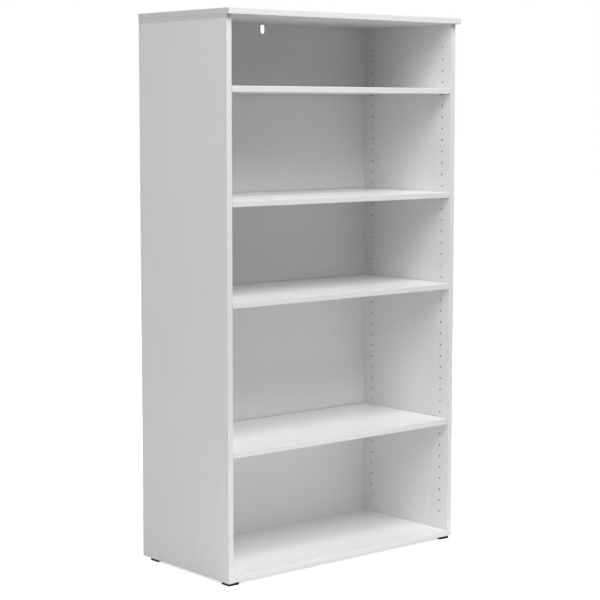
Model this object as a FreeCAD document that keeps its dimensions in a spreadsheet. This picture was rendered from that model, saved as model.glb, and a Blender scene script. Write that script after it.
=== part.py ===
"""A free-standing bookcase of white melamine-faced board with adjustable shelves.

Frame: millimetres, +Z up, -Y is the open front, X across. The origin is on the floor, under the
middle of the bookcase's overall box. Every sub-part is built with its left, front, lower corner
(or its axis) at its own origin, and its Placement carries it to its place.
"""

import FreeCAD, Part
import os
import Sketcher

SIZES = {
    # Boards. Depths are measured from the front of the side panels, edge band included.
    "width": 800,  # over the outer faces of the side panels
    "side_depth": 380,
    "side_height": 1442,
    "board": 16,  # thickness of every board
    "top_side_overhang": 5,
    "top_front_overhang": 16,
    "top_rear_inset": 6,
    "shelf_depth": 350,
    "shelf_side_gap": 1,
    "shelf_setback": 1,
    # Edge bands
    "band": 2,
    "band_round": 1.5,
    # Back panel, its grooves and its notch for a wall fixing
    "back_thickness": 3,
    "back_face": 354.5,  # from the front of the side panels to the panel's front face
    "groove_width": 3.4,
    "groove_depth": 6,
    "groove_play": 0.5,
    "notch_width": 16,
    "notch_drop": 26,  # how far the notch reaches below the top board
    # Rows of pin holes
    "hole_diameter": 5,
    "hole_depth": 12,
    "hole_pitch": 32,
    "hole_count": 42,
    "first_row": 34,
    "row_gap": 288,
    "lowest_hole": 66,
    # The hole that each shelf rests at, counted up from the lowest one, which is 0
    "shelf_1_hole": 37,
    "shelf_2_hole": 28,
    "shelf_3_hole": 20,
    "shelf_4_hole": 8,
    # Shelf pins: a round shank and a flat seat whose top is level with the shank's axis
    "pin_diameter": 4.9,
    "pin_shank": 9,
    "pin_chamfer": 0.6,
    "seat_length": 10,
    "seat_width": 8,
    "seat_thickness": 2.4,
    "seat_round": 3,
    # Wood dowels that join the side panels to the top and bottom boards
    "dowel_diameter": 8,
    "dowel_hole": 8.1,
    "dowel_length": 30,
    "dowel_in_face": 10,  # the part of a dowel that is in a board's face, not in its edge
    "dowel_play": 1,
    "dowel_chamfer": 1,
    "dowel_first": 60,
    "dowel_gap": 125,
    "dowel_count": 3,
    # Glides under the corners and their screws
    "foot_size": 34,
    "foot_height": 8,
    "foot_corner": 4,
    "foot_edge": 1.5,
    "foot_side_inset": 4.5,
    "foot_front_inset": 4.5,
    "foot_row_gap": 315,
    "foot_bore": 4,
    "foot_sink": 2.2,
    "sink_play": 0.05,
    "screw_diameter": 3.5,
    "screw_head": 7,
    "screw_length": 16,
    "screw_tip": 3,
    "screw_play": 1,
    "cross_length": 4.4,
    "cross_width": 0.9,
    "cross_depth": 1.3,
}
SHELVES = (1, 2, 3, 4)

# Places that many sub-parts share, as expressions on the sheet
FRONT = "(-(Sizes.side_depth - Sizes.top_front_overhang) / 2)"  # front of the side panels
BASE = "Sizes.foot_height"  # underside of the side panels
HALF = "(Sizes.width / 2)"
INNER = "(Sizes.width / 2 - Sizes.board)"  # from the middle to a side panel's inner face
TOP_HALF = "(Sizes.width / 2 + Sizes.top_side_overhang)"
BEHIND_BAND = f"({FRONT} + Sizes.band)"

doc = FreeCAD.newDocument("Bookcase")
sheet = doc.addObject("Spreadsheet::Sheet", "Sizes")
for line, (alias, number) in enumerate(SIZES.items(), start=1):
    sheet.set(f"A{line}", alias)
    sheet.set(f"B{line}", str(number))
    sheet.setAlias(f"B{line}", alias)
doc.recompute()

nodes = []


def value(expression):
    """An expression on the sheet, worked out as a plain number."""
    return float(sheet.evalExpression(str(expression).replace("Sizes.", "")))


def new_body(name, place):
    """An empty body at (x, y, z), each an expression."""
    body = doc.addObject("PartDesign::Body", name)
    body.Label = name
    for axis, expression in zip("xyz", place):
        body.setExpression(f"Placement.Base.{axis}", expression)
    return body


def new_sketch(body, role, offset="0"):
    """A sketch on one of the body's origin planes, moved along the plane's normal by offset."""
    sketch = body.newObject("Sketcher::SketchObject", f"{body.Name}_outline")
    plane = next(p for p in body.Origin.OriginFeatures if p.Role == role)
    sketch.AttachmentSupport = [(plane, "")]
    sketch.MapMode = "FlatFace"
    sketch.setExpression("AttachmentOffset.Base.z", offset)
    return sketch


def hold(sketch, kind, where, expression):
    """Add a dimension whose number follows an expression."""
    index = sketch.addConstraint(Sketcher.Constraint(kind, *where, value(expression)))
    sketch.setExpression(f"Constraints[{index}]", expression)


def outline(sketch, points):
    """Add a closed outline of straight lines through points, each a pair of expressions."""
    first = sketch.GeometryCount
    places = [FreeCAD.Vector(value(x), value(y), 0) for x, y in points]
    for start, end in zip(places, places[1:] + places[:1]):
        sketch.addGeometry(Part.LineSegment(start, end), False)
    for index in range(len(points)):
        following = first + (index + 1) % len(points)
        sketch.addConstraint(Sketcher.Constraint("Coincident", first + index, 2, following, 1))
    for index, (x, y) in enumerate(points):
        hold(sketch, "DistanceX", (-1, 1, first + index, 1), x)
        hold(sketch, "DistanceY", (-1, 1, first + index, 1), y)


def rectangle(sketch, x, y, size_x, size_y):
    """Add a rectangle by its lower left corner and its sides, all expressions."""
    right, high = f"{x} + {size_x}", f"{y} + {size_y}"
    outline(sketch, [(x, y), (right, y), (right, high), (x, high)])


def circle(sketch, x, y, diameter):
    """Add a circle by its centre and diameter, all expressions."""
    centre = FreeCAD.Vector(value(x), value(y), 0)
    normal = FreeCAD.Vector(0, 0, 1)
    index = sketch.addGeometry(Part.Circle(centre, normal, value(diameter) / 2), False)
    hold(sketch, "DistanceX", (-1, 1, index, 3), x)
    hold(sketch, "DistanceY", (-1, 1, index, 3), y)
    hold(sketch, "Diameter", (index,), diameter)


def pad(body, sketch, length, backwards=False):
    """Raise a sketch along its normal, or backwards, by an expression."""
    feature = body.newObject("PartDesign::Pad", f"{body.Name}_pad")
    feature.Profile = sketch
    feature.setExpression("Length", length)
    feature.Reversed = backwards
    doc.recompute()
    return feature


def pocket(body, sketch, depth, along_normal=False):
    """Sink a sketch into the solid, against its normal or along it, and see that it cuts."""
    before = body.Shape.Volume
    feature = body.newObject("PartDesign::Pocket", f"{body.Name}_pocket")
    feature.Profile = sketch
    feature.setExpression("Length", depth)
    feature.Reversed = along_normal
    doc.recompute()
    if body.Shape.Volume >= before:
        raise RuntimeError(f"a pocket of {body.Label} cuts nothing")
    return feature


def repeat(body, feature, axis, count, gap):
    """Repeat a feature along its own sketch's H_Axis or V_Axis."""
    before = body.Shape.Volume
    pattern = body.newObject("PartDesign::LinearPattern", f"{body.Name}_row")
    pattern.Originals = [feature]
    pattern.Direction = (feature.Profile[0], [axis])
    pattern.setExpression("Length", f"({count} - 1) * {gap}")
    pattern.setExpression("Occurrences", count)
    body.Tip = pattern
    doc.recompute()
    if body.Shape.Volume >= before:
        raise RuntimeError(f"a row of {body.Label} cuts nothing")


def edges_where(shape, test):
    """Names of the edges whose box passes a test."""
    return [f"Edge{n}" for n, edge in enumerate(shape.Edges, start=1) if test(edge.BoundBox)]


def dress(body, kind, size_name, size, test):
    """Round (Fillet, Radius) or bevel (Chamfer, Size) the edges whose box passes a test."""
    base = body.Tip
    feature = body.newObject(f"PartDesign::{kind}", f"{body.Name}_edges")
    feature.Base = (base, edges_where(base.Shape, test))
    feature.setExpression(size_name, size)
    body.Tip = feature
    doc.recompute()


def block(name, size, place):
    """A rectangular board or strip: size and place are triples of expressions."""
    body = new_body(name, place)
    sketch = new_sketch(body, "XY_Plane")
    rectangle(sketch, "0", "0", size[0], size[1])
    pad(body, sketch, size[2])
    nodes.append(body)
    return body


def drill_row(body, sketch, depth, axis, along_normal=False):
    """Dowel holes: the sketch's circles, sunk and repeated at the dowels' spacing."""
    feature = pocket(body, sketch, depth, along_normal)
    repeat(body, feature, axis, "Sizes.dowel_count", "Sizes.dowel_gap")


DOWEL_FACE_DEPTH = "(Sizes.dowel_in_face + Sizes.dowel_play)"
DOWEL_EDGE_DEPTH = "(Sizes.dowel_length - Sizes.dowel_in_face + Sizes.dowel_play)"
FIRST_DOWEL = "(Sizes.dowel_first - Sizes.band)"
MID_BOARD = "(Sizes.board / 2)"


def side_panel(name, on_left):
    """An upright board with two rows of pin holes and the back panel's groove in its inner face."""
    size = ("Sizes.board", "Sizes.side_depth - Sizes.band", "Sizes.side_height")
    body = block(name, size, (f"-{HALF}" if on_left else INNER, BEHIND_BAND, BASE))
    inner_face = "Sizes.board" if on_left else "0"

    groove = new_sketch(body, "YZ_Plane", inner_face)
    from_front = "(Sizes.back_face - Sizes.band)"
    rectangle(groove, from_front, "0", "Sizes.groove_width", "Sizes.side_height")
    pocket(body, groove, "Sizes.groove_depth", not on_left)

    holes = new_sketch(body, "YZ_Plane", inner_face)
    front_row = "(Sizes.first_row - Sizes.band)"
    for row in (front_row, f"{front_row} + Sizes.row_gap"):
        circle(holes, row, "Sizes.lowest_hole", "Sizes.hole_diameter")
    lowest = pocket(body, holes, "Sizes.hole_depth", not on_left)
    repeat(body, lowest, "V_Axis", "Sizes.hole_count", "Sizes.hole_pitch")

    low_holes = new_sketch(body, "YZ_Plane", inner_face)
    circle(low_holes, FIRST_DOWEL, MID_BOARD, "Sizes.dowel_hole")
    drill_row(body, low_holes, DOWEL_FACE_DEPTH, "H_Axis", not on_left)

    top_holes = new_sketch(body, "XY_Plane", "Sizes.side_height")
    circle(top_holes, MID_BOARD, FIRST_DOWEL, "Sizes.dowel_hole")
    drill_row(body, top_holes, DOWEL_EDGE_DEPTH, "V_Axis")


def top_panel():
    """The board that lies on the side panels, with a stopped groove in its underside."""
    half = f"({TOP_HALF} - Sizes.band)"
    depth = "Sizes.side_depth + Sizes.top_front_overhang - Sizes.top_rear_inset - Sizes.band"
    place = (f"-{half}", f"{BEHIND_BAND} - Sizes.top_front_overhang", f"{BASE} + Sizes.side_height")
    body = block("top_panel", (f"2 * {half}", depth, "Sizes.board"), place)

    groove = new_sketch(body, "XY_Plane")
    reach = f"({INNER} + Sizes.groove_depth)"
    from_front = "(Sizes.top_front_overhang + Sizes.back_face - Sizes.band)"
    rectangle(groove, f"{half} - {reach}", from_front, f"2 * {reach}", "Sizes.groove_width")
    pocket(body, groove, "Sizes.groove_depth", True)

    holes = new_sketch(body, "XY_Plane")
    for sign in "-+":
        x = f"{half} {sign} ({HALF} - {MID_BOARD})"
        circle(holes, x, f"Sizes.top_front_overhang + {FIRST_DOWEL}", "Sizes.dowel_hole")
    drill_row(body, holes, DOWEL_FACE_DEPTH, "V_Axis", True)


def bottom_panel():
    """The board between the side panels, flush with their lower ends."""
    depth = "Sizes.side_depth - Sizes.top_rear_inset - Sizes.band"
    size = (f"2 * {INNER}", depth, "Sizes.board")
    body = block("bottom_panel", size, (f"-{INNER}", BEHIND_BAND, BASE))

    groove = new_sketch(body, "XY_Plane", "Sizes.board")
    from_front = "(Sizes.back_face - Sizes.band)"
    rectangle(groove, "0", from_front, f"2 * {INNER}", "Sizes.groove_width")
    pocket(body, groove, "Sizes.groove_depth")

    for end, along_normal in (("0", True), (f"2 * {INNER}", False)):
        holes = new_sketch(body, "YZ_Plane", end)
        circle(holes, FIRST_DOWEL, MID_BOARD, "Sizes.dowel_hole")
        drill_row(body, holes, DOWEL_EDGE_DEPTH, "H_Axis", along_normal)

    screw_holes = new_sketch(body, "XY_Plane")
    for x, y in FOOT_CENTRES:
        circle(screw_holes, f"{x} + {INNER}", f"{y} - {BEHIND_BAND}", "Sizes.screw_diameter")
    reach = f"{SCREW_HEAD_AT} + Sizes.screw_length + Sizes.screw_play"
    pocket(body, screw_holes, f"{reach} - {BASE}", True)


def back_panel():
    """The thin panel in grooves all round, with a round-bottomed notch at its upper edge."""
    reach = "(Sizes.groove_depth - Sizes.groove_play)"
    half = f"({INNER} + {reach})"
    low = f"(Sizes.board - {reach})"
    tall = f"(Sizes.side_height + {reach} - {low})"
    place = (f"-{half}", f"{FRONT} + Sizes.back_face", f"{BASE} + {low}")
    body = block("back_panel", (f"2 * {half}", "Sizes.back_thickness", tall), place)

    notch = new_sketch(body, "XZ_Plane")
    radius = "(Sizes.notch_width / 2)"
    centre = f"(Sizes.side_height - Sizes.notch_drop + {radius} - {low})"
    rectangle(notch, f"{half} - {radius}", centre, "Sizes.notch_width", f"{tall} - {centre}")
    pocket(body, notch, "Sizes.back_thickness")
    notch_bottom = new_sketch(body, "XZ_Plane")
    circle(notch_bottom, half, centre, "Sizes.notch_width")
    pocket(body, notch_bottom, "Sizes.back_thickness")


def shelf(number):
    """A loose board that rests on four pins, with a band along its front."""
    half = f"({INNER} - Sizes.shelf_side_gap)"
    front = f"({FRONT} + Sizes.shelf_setback)"
    low = shelf_underside(number)
    size = (f"2 * {half}", "Sizes.shelf_depth - Sizes.band", "Sizes.board")
    block(f"shelf_{number}", size, (f"-{half}", f"{front} + Sizes.band", low))
    strip_size = (f"2 * {half}", "Sizes.band", "Sizes.board")
    round_front(block(f"shelf_{number}_band", strip_size, (f"-{half}", front, low)))


def shelf_underside(number):
    """The height of a shelf's underside, which is that of its pins' axis."""
    return f"({BASE} + Sizes.lowest_hole + Sizes.shelf_{number}_hole * Sizes.hole_pitch)"


def round_front(strip):
    """Round a band's two long front edges."""
    across = max(strip.Shape.BoundBox.XLength, strip.Shape.BoundBox.ZLength) / 2

    def test(box):
        return box.YMax < 0.1 and max(box.XLength, box.ZLength) > across

    dress(strip, "Fillet", "Radius", "Sizes.band_round", test)


def carcass_bands():
    """The bands glued to the front edges of the carcass and round three sides of the top board."""
    for name, x in (("side_band_left", f"-{HALF}"), ("side_band_right", INNER)):
        size = ("Sizes.board", "Sizes.band", "Sizes.side_height")
        round_front(block(name, size, (x, FRONT, BASE)))
    size = (f"2 * {INNER}", "Sizes.band", "Sizes.board")
    round_front(block("bottom_band", size, (f"-{INNER}", FRONT, BASE)))

    front = f"({FRONT} - Sizes.top_front_overhang)"
    low = f"({BASE} + Sizes.side_height)"
    size = (f"2 * {TOP_HALF}", "Sizes.band", "Sizes.board")
    strip = block("top_band_front", size, (f"-{TOP_HALF}", front, low))
    thickness = value("Sizes.band")
    dress(strip, "Fillet", "Radius", "Sizes.band_round", lambda box: box.YMin < thickness / 2)

    depth = "Sizes.side_depth + Sizes.top_front_overhang - Sizes.top_rear_inset - Sizes.band"
    for side, x, outer_x in (("left", f"-{TOP_HALF}", 0), ("right", f"{TOP_HALF} - Sizes.band", thickness)):
        size = ("Sizes.band", depth, "Sizes.board")
        strip = block(f"top_band_{side}", size, (x, f"{front} + Sizes.band", low))

        def test(box):
            return box.YLength > thickness and abs((box.XMin + box.XMax) / 2 - outer_x) < thickness / 4

        dress(strip, "Fillet", "Radius", "Sizes.band_round", test)


def shelf_pin(name, x, y, z, on_left):
    """A steel pin: its shank is in a hole of the side panel, and the shelf lies on its flat seat."""
    body = new_body(name, (x, y, z))
    turn = 0 if on_left else 180
    body.Placement.Rotation = FreeCAD.Rotation(FreeCAD.Vector(0, 0, 1), turn)

    shank = new_sketch(body, "YZ_Plane")
    circle(shank, "0", "0", "Sizes.pin_diameter")
    pad(body, shank, "Sizes.pin_shank", True)
    tip = -value("Sizes.pin_shank")
    dress(body, "Chamfer", "Size", "Sizes.pin_chamfer", lambda box: box.XMax < tip + 0.1)

    seat = new_sketch(body, "XY_Plane")
    rectangle(seat, "0", "-Sizes.seat_width / 2", "Sizes.seat_length", "Sizes.seat_width")
    pad(body, seat, "Sizes.seat_thickness", True)
    end = value("Sizes.seat_length")
    upright = value("Sizes.seat_thickness") / 2

    def at_the_tip(box):
        return box.XMin > end - 0.1 and box.ZLength > upright

    dress(body, "Fillet", "Radius", "Sizes.seat_round", at_the_tip)
    nodes.append(body)


def shelf_pins(number):
    """The four pins under one shelf."""
    front = f"{FRONT} + Sizes.first_row"
    for row, y in (("front", front), ("rear", f"{front} + Sizes.row_gap")):
        for side, x in (("left", f"-{INNER}"), ("right", INNER)):
            name = f"pin_{number}_{row}_{side}"
            shelf_pin(name, x, y, shelf_underside(number), side == "left")


FOOT_X = f"({HALF} - Sizes.foot_side_inset - Sizes.foot_size / 2)"
FOOT_Y = f"({FRONT} + Sizes.foot_front_inset + Sizes.foot_size / 2)"
FOOT_ROWS = (FOOT_Y, f"({FOOT_Y} + Sizes.foot_row_gap)")
FOOT_CENTRES = [(sign + FOOT_X, y) for y in FOOT_ROWS for sign in "-+"]
FOOT_NAMES = ("front_left", "front_right", "rear_left", "rear_right")
# The height of the screw's head, just short of where it would touch the glide's countersink
SCREW_HEAD_AT = "(Sizes.foot_bore / 2 + Sizes.foot_sink - Sizes.screw_head / 2 - Sizes.sink_play)"


def foot(name, centre):
    """A square plastic glide with rounded corners and a countersunk bore."""
    body = new_body(f"foot_{name}", (*centre, "0"))
    square = new_sketch(body, "XY_Plane")
    corner = "-Sizes.foot_size / 2"
    rectangle(square, corner, corner, "Sizes.foot_size", "Sizes.foot_size")
    pad(body, square, "Sizes.foot_height")
    tall = value("Sizes.foot_height")
    dress(body, "Fillet", "Radius", "Sizes.foot_corner", lambda box: box.ZLength > tall / 2)
    dress(body, "Fillet", "Radius", "Sizes.foot_edge", lambda box: box.ZMax < 0.1)

    bore = new_sketch(body, "XY_Plane")
    circle(bore, "0", "0", "Sizes.foot_bore")
    pocket(body, bore, "Sizes.foot_height", True)
    wide = value("Sizes.foot_bore") + 0.1

    def round_the_bore(box):
        return box.ZMax < 0.1 and box.XLength < wide

    dress(body, "Chamfer", "Size", "Sizes.foot_sink", round_the_bore)
    nodes.append(body)


def foot_screw(name, centre):
    """A countersunk wood screw with a cross recess, its head down in the glide."""
    body = new_body(f"screw_{name}", (*centre, SCREW_HEAD_AT))
    profile = new_sketch(body, "XZ_Plane")
    head = "Sizes.screw_head / 2"
    shank = "Sizes.screw_diameter / 2"
    taper = "(Sizes.screw_head - Sizes.screw_diameter) / 2"
    points = [("0", "0"), (head, "0"), (shank, taper)]
    points += [(shank, "Sizes.screw_length - Sizes.screw_tip"), ("0", "Sizes.screw_length")]
    outline(profile, points)
    turned = body.newObject("PartDesign::Revolution", f"{body.Name}_turned")
    turned.Profile = profile
    turned.ReferenceAxis = (profile, ["V_Axis"])
    turned.Angle = 360
    doc.recompute()
    sides = ("Sizes.cross_length", "Sizes.cross_width")
    for size_x, size_y in (sides, sides[::-1]):
        slot = new_sketch(body, "XY_Plane")
        rectangle(slot, f"-{size_x} / 2", f"-{size_y} / 2", size_x, size_y)
        pocket(body, slot, "Sizes.cross_depth", True)
    return body


def dowel(name, place, upright):
    """A beech dowel with bevelled ends, upright or lying along X."""
    body = new_body(name, place)
    turn = 0 if upright else 90
    body.Placement.Rotation = FreeCAD.Rotation(FreeCAD.Vector(0, 1, 0), turn)
    section = new_sketch(body, "XY_Plane")
    circle(section, "0", "0", "Sizes.dowel_diameter")
    pad(body, section, "Sizes.dowel_length")
    dress(body, "Chamfer", "Size", "Sizes.dowel_chamfer", lambda box: box.ZLength < 0.1)
    return body


def group(name, bodies):
    """One node that holds several identical pieces as separate solids."""
    compound = doc.addObject("Part::Compound", name)
    compound.Label = name
    compound.Links = bodies
    nodes.append(compound)


def dowels():
    """Upright dowels into the top board, and lying ones into the ends of the bottom board."""
    upright, lying = [], []
    in_edge = "(Sizes.dowel_length - Sizes.dowel_in_face)"
    for index in range(int(value("dowel_count"))):
        y = f"{FRONT} + Sizes.dowel_first + {index} * Sizes.dowel_gap"
        for side, sign, start in (
            ("left", "-", f"-({INNER} + Sizes.dowel_in_face)"),
            ("right", "", f"({INNER} - {in_edge})"),
        ):
            x = f"{sign}({HALF} - {MID_BOARD})"
            high = (x, y, f"{BASE} + Sizes.side_height - {in_edge}")
            low = (start, y, f"{BASE} + {MID_BOARD}")
            upright.append(dowel(f"top_dowel_{side}_{index + 1}", high, True))
            lying.append(dowel(f"bottom_dowel_{side}_{index + 1}", low, False))
    group("top_dowels", upright)
    group("bottom_dowels", lying)


def check_and_write():
    """Stop on anything failed, null or invalid, then write one STEP file for each node."""
    doc.recompute()
    for item in doc.Objects:
        if {"Invalid", "Error"} & set(item.State):
            raise RuntimeError(f"{item.Label} failed: {item.State}")
    for node in nodes:
        if node.Shape.isNull() or not node.Shape.isValid() or not node.Shape.Solids:
            raise RuntimeError(f"{node.Label} has no valid solid")
    os.makedirs("parts", exist_ok=True)
    for node in nodes:
        node.Shape.exportStep(os.path.join("parts", f"{node.Label}.step"))
        print(node.Label, len(node.Shape.Solids), round(node.Shape.Volume))


side_panel("side_panel_left", True)
side_panel("side_panel_right", False)
top_panel()
bottom_panel()
back_panel()
carcass_bands()
for number in SHELVES:
    shelf(number)
    shelf_pins(number)
for foot_name, foot_centre in zip(FOOT_NAMES, FOOT_CENTRES):
    foot(foot_name, foot_centre)
group("foot_screws", [foot_screw(*pair) for pair in zip(FOOT_NAMES, FOOT_CENTRES)])
dowels()
check_and_write()
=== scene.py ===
"""The looks of a white melamine bookcase with four adjustable shelves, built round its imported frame."""

import math

import bmesh
import bpy
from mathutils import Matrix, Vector


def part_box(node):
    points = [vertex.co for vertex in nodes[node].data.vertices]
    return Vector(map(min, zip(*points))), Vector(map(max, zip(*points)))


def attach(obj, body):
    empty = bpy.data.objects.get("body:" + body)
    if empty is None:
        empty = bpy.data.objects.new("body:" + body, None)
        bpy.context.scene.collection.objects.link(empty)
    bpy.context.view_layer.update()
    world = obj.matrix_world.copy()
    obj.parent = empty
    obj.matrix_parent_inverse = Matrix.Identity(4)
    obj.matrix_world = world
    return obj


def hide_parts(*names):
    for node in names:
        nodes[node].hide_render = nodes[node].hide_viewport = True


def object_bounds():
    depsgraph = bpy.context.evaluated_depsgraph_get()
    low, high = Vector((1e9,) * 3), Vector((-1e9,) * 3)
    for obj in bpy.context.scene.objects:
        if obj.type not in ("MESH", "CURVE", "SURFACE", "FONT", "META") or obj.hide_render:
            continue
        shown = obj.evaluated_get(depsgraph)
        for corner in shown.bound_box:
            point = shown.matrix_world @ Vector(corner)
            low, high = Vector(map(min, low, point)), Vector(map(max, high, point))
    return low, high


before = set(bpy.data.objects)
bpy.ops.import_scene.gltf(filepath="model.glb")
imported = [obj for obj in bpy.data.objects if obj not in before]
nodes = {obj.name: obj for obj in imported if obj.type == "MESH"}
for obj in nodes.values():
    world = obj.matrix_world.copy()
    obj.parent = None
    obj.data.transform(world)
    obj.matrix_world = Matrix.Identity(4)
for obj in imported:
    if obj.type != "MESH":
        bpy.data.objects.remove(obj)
cad_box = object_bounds()

MM = 0.001
X, Y, Z = 0, 1, 2
BOARD = 16 * MM
WHITE = 0.88
BAND_WHITE = 0.74
SHELVES = ("shelf_1", "shelf_2", "shelf_3", "shelf_4")
PINS = [name for name in nodes if name.startswith("pin_")]
FEET = [name for name in nodes if name.startswith("foot_") and name != "foot_screws"]
BANDS = [name for name in nodes if "_band" in name]


# ---------------------------------------------------------------- material graphs


class Graph:
    """A new material's node tree, with short calls for the nodes that the finishes are made of.
    Places are in metres, in the object's own frame."""

    def __init__(self, name, metallic=0.0, specular=0.5):
        self.material = bpy.data.materials.new(name)
        self.material.use_nodes = True
        self.tree = self.material.node_tree
        self.shader = self.tree.nodes["Principled BSDF"]
        self.set(self.shader, {"Metallic": metallic, "Specular IOR Level": specular})
        self.place = self.add("TexCoord")

    def set(self, node, sockets):
        """Links each socket to another node's output, or gives it a plain value."""
        for name, value in sockets.items():
            if isinstance(value, bpy.types.NodeSocket):
                self.tree.links.new(value, node.inputs[name])
            else:
                node.inputs[name].default_value = value

    def add(self, kind, sockets=None, **settings):
        node = self.tree.nodes.new("ShaderNode" + kind)
        for name, value in settings.items():
            setattr(node, name, value)
        self.set(node, sockets or {})
        return node

    def maths(self, operation, first, second=0.0):
        return self.add("Math", {0: first, 1: second}, operation=operation).outputs[0]

    def stretched(self, along, slow, fast):
        """The place times slow along one axis and fast along the two others, both in cycles per metre."""
        factors = [fast, fast, fast]
        factors[along] = slow
        sockets = {0: self.place.outputs["Object"], 1: factors}
        return self.add("VectorMath", sockets, operation="MULTIPLY").outputs[0]

    def even(self, per_metre):
        return self.stretched(X, per_metre, per_metre)

    def noise(self, vector, detail=2.0, roughness=0.5):
        sockets = {"Vector": vector, "Scale": 1.0, "Detail": detail, "Roughness": roughness}
        return self.add("TexNoise", sockets).outputs["Fac"]

    def rise(self, value, low, high):
        """0 below low, 1 above high, and smooth between."""
        sockets = {"Value": value, "From Min": low, "From Max": high}
        return self.add("MapRange", sockets, interpolation_type="SMOOTHSTEP").outputs["Result"]

    def between(self, factor, low, high):
        """A number from low, where factor is 0, to high, where it is 1."""
        sockets = {"Value": factor, "To Min": low, "To Max": high}
        return self.add("MapRange", sockets).outputs["Result"]

    def mix(self, factor, low, high):
        """A colour from low, where factor is 0, to high, where it is 1."""
        colours = [c if isinstance(c, bpy.types.NodeSocket) else (*c, 1.0) for c in (low, high)]
        sockets = {0: factor, 6: colours[0], 7: colours[1]}
        return self.add("Mix", sockets, data_type="RGBA").outputs[2]

    def finish(self, colour, roughness, height, depth):
        """Ends the graph: colour, roughness, and a height from 0 to 1 that stands for depth in metres."""
        bump = self.add("Bump", {"Height": height, "Distance": depth, "Strength": 1.0})
        self.set(self.shader, {"Base Color": colour, "Roughness": roughness, "Normal": bump.outputs["Normal"]})
        return self.material


def grey(value):
    return (value, value, value)


def chipboard(graph, along):
    """Colour and height of raw chipboard: flakes lying along one axis in a darker, dusty binder."""
    flakes = graph.add("TexVoronoi", {"Vector": graph.stretched(along, 210, 640), "Scale": 1.0})
    tone = graph.add("SeparateColor", {"Color": flakes.outputs["Color"]}).outputs["Red"]
    dust = graph.noise(graph.even(1500), detail=3)
    colour = graph.mix(tone, (0.24, 0.175, 0.12), (0.52, 0.42, 0.31))
    colour = graph.mix(graph.rise(flakes.outputs["Distance"], 0.45, 0.9), colour, (0.16, 0.11, 0.07))
    colour = graph.mix(graph.rise(dust, 0.55, 0.75), colour, (0.50, 0.42, 0.32))
    return colour, graph.maths("MULTIPLY", tone, dust)


def melamine(name, across, along):
    """White melamine on both faces of a chipboard, with a faint pressed grain. Holes, grooves and ends show the core.
    across is the axis through the board, along is the axis of the grain."""
    graph = Graph(name)
    clouds = graph.noise(graph.stretched(along, 2.5, 9), detail=2)
    streaks = graph.noise(graph.stretched(along, 6, 120), detail=3, roughness=0.6)
    fibres = graph.noise(graph.stretched(along, 28, 900), detail=3, roughness=0.6)
    pores = graph.rise(fibres, 0.60, 0.72)
    tone = graph.maths("ADD", graph.maths("MULTIPLY", streaks, 0.7), graph.maths("MULTIPLY", clouds, 0.3))
    paper = graph.mix(graph.rise(tone, 0.3, 0.7), grey(WHITE * 0.975), grey(WHITE * 1.015))
    paper = graph.mix(graph.maths("MULTIPLY", pores, 0.3), paper, grey(WHITE * 0.9))

    core, core_height = chipboard(graph, along)
    depth = graph.add("SeparateXYZ", {0: graph.place.outputs["Generated"]}).outputs[across]
    inward = graph.maths("MINIMUM", depth, graph.maths("SUBTRACT", 1.0, depth))
    skin, skin_end = 0.3 * MM / BOARD, 0.4 * MM / BOARD
    raw = graph.rise(inward, skin, skin_end)

    colour = graph.mix(raw, paper, core)
    shine = graph.between(fibres, 0.24, 0.36)
    roughness = graph.maths("MAXIMUM", shine, graph.maths("MULTIPLY", raw, 0.85))
    pressed = graph.maths("MULTIPLY", graph.maths("SUBTRACT", 1.0, graph.maths("MULTIPLY", pores, 0.5)), 0.1)
    height = graph.maths("ADD", pressed, graph.maths("MULTIPLY", raw, core_height))
    return graph.finish(colour, roughness, height, 0.35 * MM)


def edge_band():
    """White plastic edging: smooth and a little glossy on its flat, more matt where its edges are scraped round, and
    painted a little lighter there as a painted highlight.
    """
    graph = Graph("edge_band")
    normal = graph.add("VectorMath", {0: graph.place.outputs["Normal"]}, operation="ABSOLUTE").outputs[0]
    parts = graph.add("SeparateXYZ", {0: normal}).outputs
    largest = graph.maths("MAXIMUM", graph.maths("MAXIMUM", parts[X], parts[Y]), parts[Z])
    scraped_and_highlight = graph.maths("SUBTRACT", 1.0, graph.rise(largest, 0.92, 0.995))
    mottle = graph.noise(graph.even(60), detail=3)
    peel = graph.noise(graph.even(1400), detail=2)
    colour = graph.mix(mottle, grey(BAND_WHITE * 0.98), grey(BAND_WHITE * 1.02))
    # painted highlight: the rounded edges of the band are painted a little lighter
    colour = graph.mix(graph.maths("MULTIPLY", scraped_and_highlight, 0.5), colour, grey(BAND_WHITE * 1.04))
    roughness = graph.maths("ADD", graph.between(mottle, 0.28, 0.38), graph.maths("MULTIPLY", scraped_and_highlight, 0.14))
    return graph.finish(colour, roughness, peel, 0.02 * MM)


def back_board():
    """Thin fibreboard, lacquered white on its front face and left raw and brown behind and at its edges."""
    graph = Graph("back_board")
    facing = graph.add("SeparateXYZ", {0: graph.place.outputs["Normal"]}).outputs[Y]
    raw = graph.rise(facing, -0.9, -0.6)
    peel = graph.noise(graph.even(700), detail=2)
    clouds = graph.noise(graph.stretched(Z, 3, 14), detail=3)
    white = graph.mix(clouds, grey(WHITE * 0.97), grey(WHITE * 1.01))
    fibres = graph.noise(graph.stretched(X, 260, 900), detail=4, roughness=0.7)
    blotches = graph.noise(graph.even(22), detail=5, roughness=0.65)
    brown = graph.mix(blotches, (0.17, 0.088, 0.042), (0.36, 0.205, 0.105))
    brown = graph.mix(graph.rise(fibres, 0.56, 0.74), brown, (0.50, 0.33, 0.19))
    brown = graph.mix(graph.rise(fibres, 0.44, 0.28), brown, (0.09, 0.045, 0.022))
    colour = graph.mix(raw, white, brown)
    roughness = graph.maths("MAXIMUM", graph.between(clouds, 0.26, 0.34), graph.maths("MULTIPLY", raw, 0.72))
    height = graph.maths("ADD", graph.maths("MULTIPLY", peel, 0.15), graph.maths("MULTIPLY", raw, fibres))
    return graph.finish(colour, roughness, height, 0.15 * MM)


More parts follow.
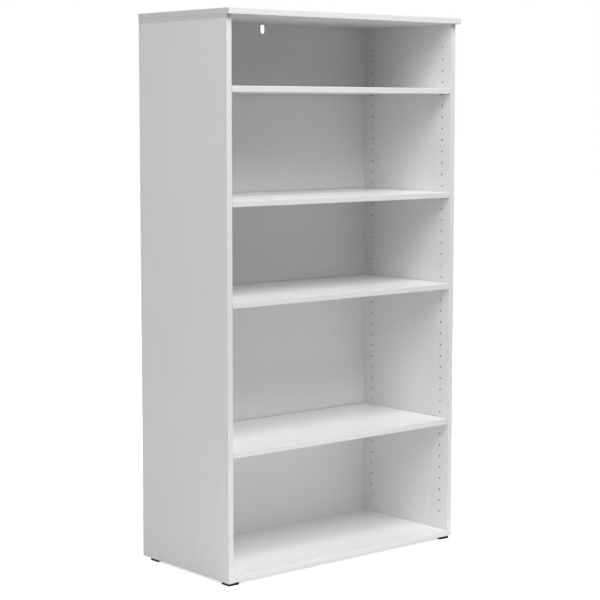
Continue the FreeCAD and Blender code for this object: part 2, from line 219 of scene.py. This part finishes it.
def nickel():
    """Nickel-plated steel of the shelf pins, barrel-finished: fine dull scuffs over the metal, whose colour is
    painted darker than bright nickel as painted shade from the shelves above the pins.
    """
    graph = Graph("pin_nickel", metallic=1.0)
    scuffs = graph.noise(graph.stretched(Y, 500, 2600), detail=4, roughness=0.7)
    cloud = graph.noise(graph.even(260), detail=2)
    # painted shade: a darker grey than plain nickel, standing in for the shade under the shelves
    colour = graph.mix(cloud, (0.30, 0.29, 0.275), (0.44, 0.43, 0.41))
    roughness = graph.between(scuffs, 0.2, 0.46)
    return graph.finish(colour, roughness, scuffs, 0.01 * MM)


def zinc():
    """Zinc-plated countersunk screws."""
    graph = Graph("screw_zinc", metallic=1.0)
    bloom = graph.noise(graph.even(900), detail=4, roughness=0.7)
    colour = graph.mix(bloom, (0.42, 0.44, 0.46), (0.62, 0.62, 0.58))
    return graph.finish(colour, graph.between(bloom, 0.28, 0.5), bloom, 0.01 * MM)


def glide_plastic():
    """Black moulded plastic, with a fine spark-eroded grain and paler scuffs low down, where it slides."""
    graph = Graph("glide_plastic", specular=0.2)
    grain = graph.noise(graph.even(2400), detail=3)
    wear = graph.noise(graph.even(420), detail=4, roughness=0.7)
    height = graph.add("SeparateXYZ", {0: graph.place.outputs["Object"]}).outputs[Z]
    low = graph.rise(height, 2.5 * MM, 0.0)
    scuffed = graph.maths("MULTIPLY", low, graph.rise(wear, 0.5, 0.68))
    colour = graph.mix(graph.maths("MULTIPLY", scuffed, 0.6), grey(0.006), grey(0.03))
    return graph.finish(colour, graph.between(scuffed, 0.46, 0.72), grain, 0.03 * MM)


def beech():
    """Beech of the dowels: long fibres with short darker flecks."""
    graph = Graph("dowel_beech")
    fibres = graph.noise(graph.stretched(Z, 60, 1500), detail=3)
    flecks = graph.rise(graph.noise(graph.stretched(Z, 300, 2200), detail=1), 0.62, 0.7)
    colour = graph.mix(fibres, (0.48, 0.30, 0.17), (0.68, 0.47, 0.29))
    colour = graph.mix(flecks, colour, (0.33, 0.18, 0.09))
    return graph.finish(colour, graph.between(fibres, 0.5, 0.7), fibres, 0.05 * MM)


def dress_nodes():
    """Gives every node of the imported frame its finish."""
    upright = melamine("melamine_upright", across=X, along=Z)
    level = melamine("melamine_level", across=Z, along=X)
    finishes = {
        back_board(): ["back_panel"],
        edge_band(): BANDS,
        upright: ["side_panel_left", "side_panel_right"],
        level: ["top_panel", "bottom_panel", *SHELVES],
        glide_plastic(): FEET,
        zinc(): ["foot_screws"],
        beech(): ["top_dowels", "bottom_dowels"],
    }
    for material, names in finishes.items():
        for name in names:
            for slot in nodes[name].material_slots:
                slot.material = material


# ---------------------------------------------------------------- shelf pins

PIN_RADIUS = 2.45 * MM
PIN_FACETS = 48
CREASE = 40  # degrees between faces that meet in a sharp edge


def loft(rings, closed=False):
    """A mesh through rings of equally many points. The last ring joins the first, or both ends are capped."""
    count = len(rings[0])
    pairs = list(zip(range(len(rings)), range(1, len(rings))))
    faces = []
    if closed:
        pairs.append((len(rings) - 1, 0))
    else:
        faces = [list(range(count))[::-1], [(len(rings) - 1) * count + i for i in range(count)]]
    for low, high in pairs:
        for i in range(count):
            after = (i + 1) % count
            faces.append([low * count + i, low * count + after, high * count + after, high * count + i])
    mesh = bpy.data.meshes.new("loft")
    mesh.from_pydata([point for ring in rings for point in ring], [], faces)
    return mesh


def joined(name, meshes):
    """One mesh of several, with its normals outward, smooth but for its sharp edges."""
    whole = bmesh.new()
    for mesh in meshes:
        whole.from_mesh(mesh)
        bpy.data.meshes.remove(mesh)
    bmesh.ops.recalc_face_normals(whole, faces=whole.faces)
    mesh = bpy.data.meshes.new(name)
    whole.to_mesh(mesh)
    whole.free()
    mesh.shade_smooth()
    mesh.set_sharp_from_angle(angle=math.radians(CREASE))
    return mesh


def round_ring(x, radius):
    """A circle about the X axis."""
    angles = [math.tau * i / PIN_FACETS for i in range(PIN_FACETS)]
    return [(x, radius * math.cos(a), radius * math.sin(a)) for a in angles]


def pin_shank():
    """The round part: a chamfered tip, three grip grooves, and a thin collar against the side panel's face."""
    tip, chamfer = -9 * MM, 0.6 * MM
    first_groove, groove_every, groove_wide, groove_deep = -7.4 * MM, 2.2 * MM, 0.5 * MM, 0.22 * MM
    collar, collar_face = 3.4 * MM, 0.02 * MM
    steps = [(tip, PIN_RADIUS - chamfer), (tip + chamfer, PIN_RADIUS)]
    for number in range(3):
        start = first_groove + number * groove_every
        for share, depth in ((0, 0), (0.3, 0.8), (0.5, 1), (0.7, 0.8), (1, 0)):
            steps.append((start + share * groove_wide, PIN_RADIUS - depth * groove_deep))
    steps += [(collar_face, PIN_RADIUS), (collar_face, collar - 0.2 * MM)]
    for x, cut in ((0.1, 0.05), (0.22, 0), (0.5, 0), (0.65, 0.06), (0.7, 0.2)):
        steps.append((x * MM, collar - cut * MM))
    return loft([round_ring(x, radius) for x, radius in steps])


def seat_ring(inset, height):
    """The seat's outline, drawn in by inset: a plate with a square end at the collar and a well-rounded free end."""
    near, far, half = 0.4 * MM + inset, 10 * MM - inset, 4 * MM - inset
    square, round_end = 0.6 * MM, 3.2 * MM
    corners = ((far, half, round_end), (near, half, square), (near, -half, square), (far, -half, round_end))
    points = []
    for quarter, (x, y, radius) in enumerate(corners):
        radius = max(radius - inset, 0.2 * MM)
        centre_x = x - radius if x == far else x + radius
        centre_y = math.copysign(half - radius, y)
        for step in range(PIN_FACETS // 4):
            turn = math.radians(90 * (quarter + step / (PIN_FACETS // 4 - 1)))
            points.append((centre_x + radius * math.cos(turn), centre_y + radius * math.sin(turn), height))
    return points


def hole_ring(radius, height):
    """A ring round the seat's screw hole, each point in line with the seat's outline."""
    centre = 6 * MM
    turns = [math.atan2(y, x - centre) for x, y, _ in seat_ring(0, 0)]
    return [(centre + radius * math.cos(turn), radius * math.sin(turn), height) for turn in turns]


def pin_seat():
    """The flat seat, its edges rounded, with a small countersunk screw hole."""
    thick, soft, hole, sink = 2.4 * MM, 0.35 * MM, 1.1 * MM, 0.9 * MM
    chamfer = 0.1 * MM
    rings = [seat_ring(soft, 0), seat_ring(soft * 0.3, -soft * 0.3), seat_ring(0, -soft)]
    rings += [seat_ring(0, soft - thick), seat_ring(soft * 0.3, soft * 0.3 - thick), seat_ring(soft, -thick)]
    rings += [hole_ring(hole * 1.9, -thick), hole_ring(hole, sink - thick)]
    rings += [hole_ring(hole, -chamfer), hole_ring(hole + chamfer, 0)]
    return loft(rings, closed=True)


def make_pins():
    """One pin in each place where the frame has one, the seat pointing into the bookcase."""
    mesh = joined("shelf_pin", [pin_shank(), pin_seat()])
    mesh.materials.append(nickel())
    face = {"left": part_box("side_panel_left")[1].x, "right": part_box("side_panel_right")[0].x}
    for name in PINS:
        low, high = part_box(name)
        side = name.rsplit("_", 1)[1]
        pin = bpy.data.objects.new(f"nickel_{name}", mesh)
        bpy.context.scene.collection.objects.link(pin)
        pin.location = (face[side], (low.y + high.y) / 2, high.z - PIN_RADIUS)
        pin.rotation_euler.z = 0 if side == "left" else math.pi
        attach(pin, "carcass")
        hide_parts(name)


# ---------------------------------------------------------------- studio

FLOOR_HALF = 30
FLOOR_ROUGHNESS = 0.9


def make_camera():
    """A long lens at chest height, in front of the bookcase and to its left, pitched a little down."""
    data = bpy.data.cameras.new("camera")
    camera = bpy.data.objects.new("camera", data)
    bpy.context.scene.collection.objects.link(camera)
    data.lens = 103.289
    data.shift_y = -0.035
    data.clip_end = 100
    camera.location = (-3.0245, -3.5900, 1.2105)
    pitch, turn = 5.568, 40.019
    camera.rotation_euler = (math.radians(90 - pitch), 0, math.radians(-turn))
    bpy.context.scene.camera = camera


def make_lights():
    """Soft square lamps round the bookcase, each aimed at its middle, a low upright card in front that faces it, and
    a strip flat on the floor along its foot. Azimuth 0 is straight in front and grows towards the right."""
    middle = (cad_box[0] + cad_box[1]) / 2
    reach, side = 4.5, 1.0
    lamps = {
        "key": (-20, 38, 43.5),
        "key_left": (-35, 48, 49.5),
        "overhead": (0, 62, 63),
        "front_high": (10, 45, 40),
        "front_low": (-20, 28, 16.5),
        "left_low": (-90, 8, 57.5),
        "right_low": (40, 28, 10),
        "side_right": (100, 25, 85),
        "behind": (180, 20, 55),
    }
    for name, (azimuth, elevation, watts) in lamps.items():
        across, up = math.radians(azimuth), math.radians(elevation)
        away = Vector((math.sin(across) * math.cos(up), -math.cos(across) * math.cos(up), math.sin(up)))
        lamp = make_lamp(name, side, side, watts)
        lamp.location = middle + reach * away
        lamp.rotation_euler = away.to_track_quat("Z", "Y").to_euler()
    card = make_lamp("low_card", 1.6, 0.16, 1.4)
    card.location = (0, -0.8, 0.09)
    card.rotation_euler.x = math.radians(90)
    strip = make_lamp("floor_strip", 1.6, 0.1, 0.28)
    strip.location = (0, -0.25, 1 * MM)
    strip.rotation_euler.x = math.radians(180)


def make_lamp(name, width, depth, watts):
    """A rectangular lamp that the camera doesn't see. Unturned, it shines down."""
    data = bpy.data.lights.new(name, "AREA")
    data.shape = "RECTANGLE"
    data.size = width
    data.size_y = depth
    data.energy = watts
    lamp = bpy.data.objects.new(name, data)
    lamp.visible_camera = False
    bpy.context.scene.collection.objects.link(lamp)
    return lamp


def make_plane(name, height):
    half = FLOOR_HALF
    mesh = bpy.data.meshes.new(name)
    corners = [(-half, -half, height), (half, -half, height), (half, half, height), (-half, half, height)]
    mesh.from_pydata(corners, [], [(0, 1, 2, 3)])
    plane = bpy.data.objects.new(name, mesh)
    bpy.context.scene.collection.objects.link(plane)
    return plane


def make_floor():
    """A white floor in two layers: the one that the camera sees glows a little, and more far off, so that it meets
    the white backdrop with no horizon; the one below it, unseen, gives the bookcase its reflected light."""
    seen = make_plane("floor", 0)
    graph = Graph("floor_seen", specular=0.2)
    distance = graph.add("VectorMath", {0: graph.place.outputs["Object"]}, operation="LENGTH").outputs["Value"]
    glow = graph.between(graph.rise(distance, 0.5, 2.0), 0.75, 1.0)
    graph.set(graph.shader, {"Base Color": (0.85, 0.85, 0.85, 1), "Roughness": FLOOR_ROUGHNESS})
    graph.set(graph.shader, {"Emission Color": (1, 1, 1, 1), "Emission Strength": glow})
    seen.data.materials.append(graph.material)
    seen.visible_diffuse = False
    seen.visible_glossy = False
    seen.visible_shadow = False

    unseen = make_plane("floor_bounce", -0.1 * MM)
    graph = Graph("floor_bounce", specular=0.2)
    graph.set(graph.shader, {"Base Color": (0.4, 0.4, 0.4, 1), "Roughness": FLOOR_ROUGHNESS})
    unseen.data.materials.append(graph.material)
    unseen.visible_camera = False


def make_world():
    """A backdrop that is white to the camera and gives only a dim, even light."""
    world = bpy.data.worlds.new("studio")
    bpy.context.scene.world = world
    world.use_nodes = True
    tree = world.node_tree
    background = tree.nodes["Background"]
    background.inputs["Color"].default_value = (1, 1, 1, 1)
    seen = tree.nodes.new("ShaderNodeLightPath").outputs["Is Camera Ray"]
    strength = tree.nodes.new("ShaderNodeMapRange")
    strength.inputs["To Min"].default_value = 0.02
    strength.inputs["To Max"].default_value = 1.0
    tree.links.new(seen, strength.inputs["Value"])
    tree.links.new(strength.outputs["Result"], background.inputs["Strength"])


dress_nodes()
make_pins()
make_camera()
make_lights()
make_floor()
make_world()
bpy.context.scene.view_settings.view_transform = "Standard"
